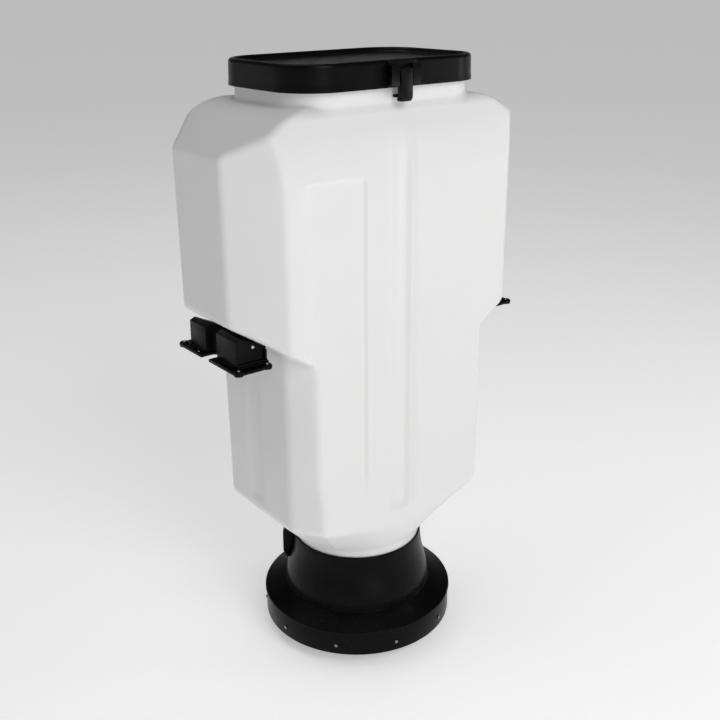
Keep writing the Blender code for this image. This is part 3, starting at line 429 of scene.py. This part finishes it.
def stations(half_width, half_depth, chamfer):
    """The outline's aim points, anticlockwise from the front's left edge."""
    across, front_along, back_along = chamfer
    edge = half_width - across
    x = np.concatenate([
        spread(-edge, -0.160, 16, 0.6), spread(-0.160, -0.084, 14), spread(-0.084, -0.070, 12),
        spread(-0.070, -0.036, 8), spread(-0.036, 0.038, 50), spread(0.038, 0.160, 16),
        spread(0.160, edge, 18, 0.6),
    ])
    runs = [np.column_stack([x, np.full(x.size, -half_depth)])]
    corners = [
        (edge, -half_depth), (half_width, front_along - half_depth), (half_width, half_depth - back_along),
        (edge, half_depth), (-edge, half_depth), (-half_width, half_depth - back_along),
        (-half_width, front_along - half_depth), (-edge, -half_depth),
    ]
    for start, end, count in zip(corners, corners[1:], (18, 30, 12, 36, 12, 44, 18)):
        t = spread(0, 1, count, 0.7)[:, None]
        runs.append(np.array(start) * (1 - t) + np.array(end) * t)
    return np.concatenate(runs)


UPPER_AIM = (0.289, 0.138)
lower_aim = stations(HALF_WIDTH, HALF_DEPTH, LOWER_CHAMFER)
upper_aim = stations(*UPPER_AIM, UPPER_CHAMFER)
neck_aim = upper_aim * (NECK[0] / UPPER_AIM[0], NECK[1] / UPPER_AIM[1])

upright_rows = np.concatenate([
    spread(0.1165, 0.165, 5), spread(0.165, 0.222, 8), spread(0.222, 0.264, 24), spread(0.264, 0.300, 7),
    spread(0.300, 0.370, 10), spread(0.370, 0.528, 14), spread(0.528, 0.575, 26), spread(0.575, 0.632, 24),
    spread(0.632, 0.820, 15), spread(0.820, 0.840, 12), spread(0.840, 0.860, 4),
])
climb = ramp(upright_rows, 0.530, 0.615)[:, None, None]
level_aim = lower_aim * (1 - climb) + upper_aim * climb
print(len(lower_aim), "columns,", len(upright_rows), "upright rows")

# %% [markdown]
# ## Drawing the hopper
# Along each row and column a ray leaves the hopper's middle, and the wall is the place on
# it where the distance is zero. Halving the stretch that holds the change of sign finds
# it to about a ten-thousandth of a millimetre in twenty-two steps, for the whole grid at
# once.
# The inner wall is the place where the distance is minus the wall's thickness.

# %% The hopper
def found_on_rays(start, aim, skin):
    """Points on rays from start through aim where the hopper's distance is minus the skin."""
    near = np.full(aim.shape[:2], 0.2)
    far = np.full(aim.shape[:2], 1.6)
    for _ in range(22):
        middle = (near + far) / 2
        at = start + (aim - start) * middle[..., None]
        outside = hopper_distance(at[..., 0], at[..., 1], at[..., 2]) + skin > 0
        far = np.where(outside, middle, far)
        near = np.where(outside, near, middle)
    return start + (aim - start) * near[..., None]


FAN_ROWS, NECK_ROWS = 70, 8
FAN_FROM, FAN_RISE, FAN_SINK = 0.860, 0.084, 0.060


def aim_rows():
    """Ray starts and aims: level up to the shoulder, then fanned over it, then up the neck."""
    columns = len(lower_aim)
    level_z = np.broadcast_to(upright_rows[:, None], (len(upright_rows), columns))
    t = np.linspace(0, 1, FAN_ROWS)[:, None] * np.pi / 2
    fan = neck_aim + (upper_aim - neck_aim) * np.cos(t)[..., None]
    fan_z = np.broadcast_to(FAN_FROM + FAN_RISE * np.sin(t), (FAN_ROWS, columns))
    neck = np.broadcast_to(neck_aim, (NECK_ROWS, columns, 2))
    neck_z = np.broadcast_to(np.linspace(0.948, 0.985, NECK_ROWS)[:, None], (NECK_ROWS, columns))
    starts = [upright_rows, FAN_FROM - FAN_SINK * np.sin(t[:, 0]), np.linspace(0.82, 0.985, NECK_ROWS)]
    start = np.zeros((sum(map(len, starts)), 1, 3))
    start[:, 0, 2] = np.concatenate(starts)
    aims = [np.dstack([level_aim, level_z]), np.dstack([fan, fan_z]), np.dstack([neck, neck_z])]
    return start, np.concatenate(aims)


start, aim = aim_rows()
outer = found_on_rays(start, aim, 0)
every_third = np.unique(np.append(np.arange(0, len(aim), 3), len(aim) - 1))[::-1]
inner = found_on_rays(start[every_third], aim[every_third], WALL)
inner[0, :, 2] = outer[-1, :, 2]
shell = np.concatenate([outer, inner]) + (0, 0, DROP)
piece("hopper_shell", [shell], ["hopper"], sharp=60, ring=True)

# %% [markdown]
# ## Profiles with rounded corners
# The lid, the housing under the funnel and the ring are each a profile carried round a
# path. A profile is a list of corners, each with how far back from it the rounding
# starts; a short parabola replaces each corner.

# %% Rounded profiles, turned or carried
def rounded(corners, steps=5, closed=False):
    """Corners are rows of (across, up, setback); each becomes a parabola touching both sides."""
    corners = np.array(corners, float)
    at, back = corners[:, :2], corners[:, 2:]
    before, after = np.roll(at, 1, 0) - at, np.roll(at, -1, 0) - at
    first = at + before * back / np.maximum(np.linalg.norm(before, axis=1, keepdims=True), 1e-9)
    last = at + after * back / np.maximum(np.linalg.norm(after, axis=1, keepdims=True), 1e-9)
    t = np.linspace(0, 1, steps)[None, :, None]
    path = (1 - t) ** 2 * first[:, None] + 2 * t * (1 - t) * at[:, None] + t**2 * last[:, None]
    if not closed:
        path[0], path[-1] = at[0], at[-1]
    return path.reshape(-1, 2)


def turned(path, columns=128):
    """A profile of (radius, height) points turned about the Z axis."""
    angle = np.arange(columns) * 2 * np.pi / columns
    radius, height = path[:, :1], path[:, 1:]
    level = np.broadcast_to(height, (len(path), columns))
    return np.dstack([radius * np.cos(angle), radius * np.sin(angle), level])


def carried(path, half_width, half_depth, corner, steps=14):
    """A profile of (inset, height) points carried round a rectangle with round corners."""
    inset, height = path[:, :1], path[:, 1:]
    angle = np.radians(np.linspace(0, 90, steps))
    angle = np.concatenate([angle + k * np.pi / 2 for k in range(4)])
    sign_x = np.repeat([1, -1, -1, 1], steps)
    sign_y = np.repeat([1, 1, -1, -1], steps)
    radius = np.maximum(corner - inset, 0.0002)
    middle_x, middle_y = half_width - corner, half_depth - corner
    x = sign_x * middle_x + radius * np.cos(angle)
    y = sign_y * middle_y + radius * np.sin(angle)
    return np.dstack([x, y, np.broadcast_to(height, x.shape)])


# %% [markdown]
# ## Housing and skirt ring
# Under the funnel a black housing covers the drive and fans out into a sloping brim. It
# is symmetrical about the shaft, so one profile turned about the axis makes it, inside
# and out. The ring below it is a plain band whose edges are just broken.

# %% Housing and skirt ring
housing_path = rounded([
    (0.1155, 0.1550, 0.0010), (0.1172, 0.1300, 0.0100), (0.1205, 0.1120, 0.0080), (0.1262, 0.0905, 0.0080),
    (0.1294, 0.0745, 0.0070), (0.1302, 0.0574, 0.0008), (0.1690, 0.0446, 0.0010),
    (0.1694, 0.0404, 0.0006), (0.1637, 0.0404, 0.0004), (0.1637, 0.0060, 0.0006), (0.1605, 0.0060, 0.0006),
    (0.1605, 0.0425, 0.0030), (0.1340, 0.0520, 0.0030), (0.1265, 0.0600, 0.0030), (0.1262, 0.0740, 0.0040),
    (0.1230, 0.0900, 0.0040), (0.1180, 0.1095, 0.0010), (0.1035, 0.1120, 0.0005), (0.1035, 0.1158, 0.0005),
    (0.1124, 0.1158, 0.0005), (0.1124, 0.1550, 0.0006),
], steps=6, closed=True) + (0, DROP)
piece("housing_bell", [turned(housing_path, 160)], ["bell_housing"], sharp=35, ring=True)

skirt_path = rounded([
    (0.1674, 0.0399, 0.0006), (0.1674, 0.0003, 0.0010), (0.1641, 0.0003, 0.0008), (0.1641, 0.0399, 0.0006),
], closed=True) + (0, DROP)
piece("skirt_band", [turned(skirt_path, 160)], ["skirt_ring"], sharp=35, ring=True)

# %% [markdown]
# ## Lid
# The lid is a shallow tray with a raised, rounded rim, and its skirt hangs over the
# neck. One profile, from the middle of the tray over the rim and down the skirt to the
# underside, is carried round the same rounded rectangle as the neck's.

# %% Lid
lid_path = rounded([
    (0.1000, 0.9915, 0), (0.0200, 0.9915, 0.0060), (0.0145, 0.9935, 0.0020), (0.0118, 0.9985, 0.0020),
    (0.0100, 1.0000, 0.0014), (0.0034, 1.0000, 0.0026), (0.0002, 0.9965, 0.0030), (0.0000, 0.9690, 0.0030),
    (-0.0010, 0.9580, 0.0006), (0.0029, 0.9578, 0.0006), (0.0035, 0.9880, 0.0020), (0.1000, 0.9885, 0),
], steps=6) + (0, DROP)
piece("lid_shell", [carried(lid_path, 0.187, 0.126, 0.072, 18)], ["lid"], sharp=35)

# %% [markdown]
# ## Bracket and latch details
# The brackets are moulded from glass-filled plastic. Thick pads back up the flange's
# corners where it is riveted to its backing plate, a stepped lip runs along the foot of
# the front box, and an upright rib stiffens its inner end. Above the latch the lid's rim
# carries a low brow that the tongue tucks under. Rivet heads are domes turned about
# their own axis; lips and ribs are profiles carried round a small rectangle.

# %% Bracket and latch details
FLANGE = 0.5485


def pad(low, high, half_width, half_depth, corner, edge=0.0009):
    """A low block with rounded corners and a softened top edge, centred on the Z axis."""
    path = rounded([(corner, high, 0), (edge, high, edge * 0.8), (0, high - edge, edge * 0.8), (0, low, 0)])
    return carried(path, half_width, half_depth, corner + 0.0002, 6) + (0, 0, DROP)


def dome(radius, height, base):
    """A rivet's head, with its base at this height."""
    t = np.linspace(0, np.pi / 2, 7)
    path = np.column_stack([radius * np.cos(t) + 0.00005, base + height * np.sin(t)])
    return turned(path, 20)


for sign, side in ((-1, "left"), (1, "right")):
    pads = [
        pad(FLANGE - 0.0058, FLANGE + 0.0018, 0.0072, 0.0072, 0.0065) + (sign * x, y, 0)
        for x in (0.2842, 0.2336) for y in (-0.0846, 0.0846)
    ]
    lips = [
        pad(FLANGE - 0.001, FLANGE + 0.0030, 0.0285, 0.0040, 0.0030) + (sign * 0.2530, -0.0748, 0),
        pad(FLANGE - 0.001, FLANGE + 0.0062, 0.0275, 0.0030, 0.0024) + (sign * 0.2527, -0.0728, 0),
        pad(FLANGE - 0.001, FLANGE + 0.0220, 0.0021, 0.0032, 0.0018) + (sign * 0.2290, -0.0730, 0),
        pad(FLANGE - 0.001, FLANGE + 0.0030, 0.0022, 0.0260, 0.0020) + (sign * 0.2800, -0.0410, 0),
        pad(FLANGE - 0.001, FLANGE + 0.0030, 0.0022, 0.0230, 0.0020) + (sign * 0.2800, 0.0470, 0),
    ]
    piece(f"bracket_pads_{side}", pads + lips, [f"bracket_{side}"], beside=True)
    heads = [
        dome(0.0021, 0.0013, DROP + FLANGE + 0.0017) + (sign * x, y, 0)
        for x, y in ((0.2842, -0.0846), (0.2336, -0.0846), (0.2842, 0.0846), (0.2336, 0.0846))
    ]
    heads.append(dome(0.0016, 0.0012, DROP + FLANGE - 0.0001) + (sign * 0.2865, 0.0330, 0))
    front_head = dome(0.0030, 0.0014, 0.0714)[..., [0, 2, 1]] * (1, -1, 1)
    heads.append(front_head + (sign * 0.2495, 0, DROP + 0.5770))
    piece(f"bracket_rivets_{side}", heads, [f"bracket_bolt_{side}_1"], beside=True)

brow = pad(0.9900, 0.9990, 0.0285, 0.0034, 0.0026, 0.0012) + (0, -0.1262, 0)
cheek_rib = pad(0.9640, 0.9900, 0.0007, 0.0012, 0.0006, 0.0005)
cheek_ribs = [cheek_rib + (x, -0.1334, 0) for x in (-0.0262, -0.0160, 0.0160, 0.0262)]
piece("latch_brow", [brow] + cheek_ribs, ["latch_housing"], beside=True)

# %% [markdown]
# ## Softened hardware
# The sheet-metal and machined pieces already have the right shape in the frame. Real
# edges are never knife-sharp, though, and it is the thin bright line on an edge that
# makes metal look solid. So each is copied, its loose triangles are merged, and a narrow
# bevel goes on every edge that turns by more than thirty degrees.

# %% Softened copies
def flange_end(at):
    """Whether a point is on one of the upright corners at the ends of a bracket's flange."""
    return abs(at.y) > 0.0915 and at.z < DROP + FLANGE + 0.001


def tongue_tip(at):
    """Whether a point is at the bottom of the latch tongue's sides."""
    return abs(at.x) > 0.0112 and at.z < DROP + 0.9372


CORNERS = {
    "bracket_left": (flange_end, 0.0050),
    "bracket_right": (flange_end, 0.0050),
    "latch": (tongue_tip, 0.0036),
}


def softened(node, width=0.0004):
    """A copy of a node with merged faces, its own corners rounded and narrow bevelled edges."""
    source = nodes[node]
    mesh = source.data.copy()
    mesh.name = f"{node}_softened"
    bm = bmesh.new()
    bm.from_mesh(mesh)
    bmesh.ops.remove_doubles(bm, verts=bm.verts, dist=1e-5)
    bmesh.ops.dissolve_limit(bm, angle_limit=math.radians(0.5), verts=bm.verts, edges=bm.edges)
    chosen, offset = CORNERS.get(node, (None, 0))
    if chosen:
        edges = [edge for edge in bm.edges if all(chosen(vert.co) for vert in edge.verts)]
        edges = [edge for edge in edges if abs(edge.verts[0].co.x - edge.verts[1].co.x) < 1e-5]
        bmesh.ops.bevel(
            bm, geom=edges, offset=offset, offset_type="OFFSET", segments=4, profile=0.5, affect="EDGES"
        )
    bm.to_mesh(mesh)
    bm.free()
    mesh.shade_smooth()
    made = bpy.data.objects.new(f"{node}_softened", mesh)
    bpy.context.scene.collection.objects.link(made)
    bevel = made.modifiers.new("edges", "BEVEL")
    bevel.width = width
    bevel.segments = 2
    bevel.limit_method = "ANGLE"
    bevel.angle_limit = math.radians(30)
    bevel.harden_normals = True
    mesh.materials.clear()
    mesh.materials.append(FINISH[slot_of[node]])
    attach(made, body_of[node])
    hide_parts(node)
    return made


drawn = {"hopper", "bell_housing", "skirt_ring", "lid"}
for node in sorted(set(nodes) - drawn):
    softened(node)
print(len(nodes) - len(drawn), "softened copies")
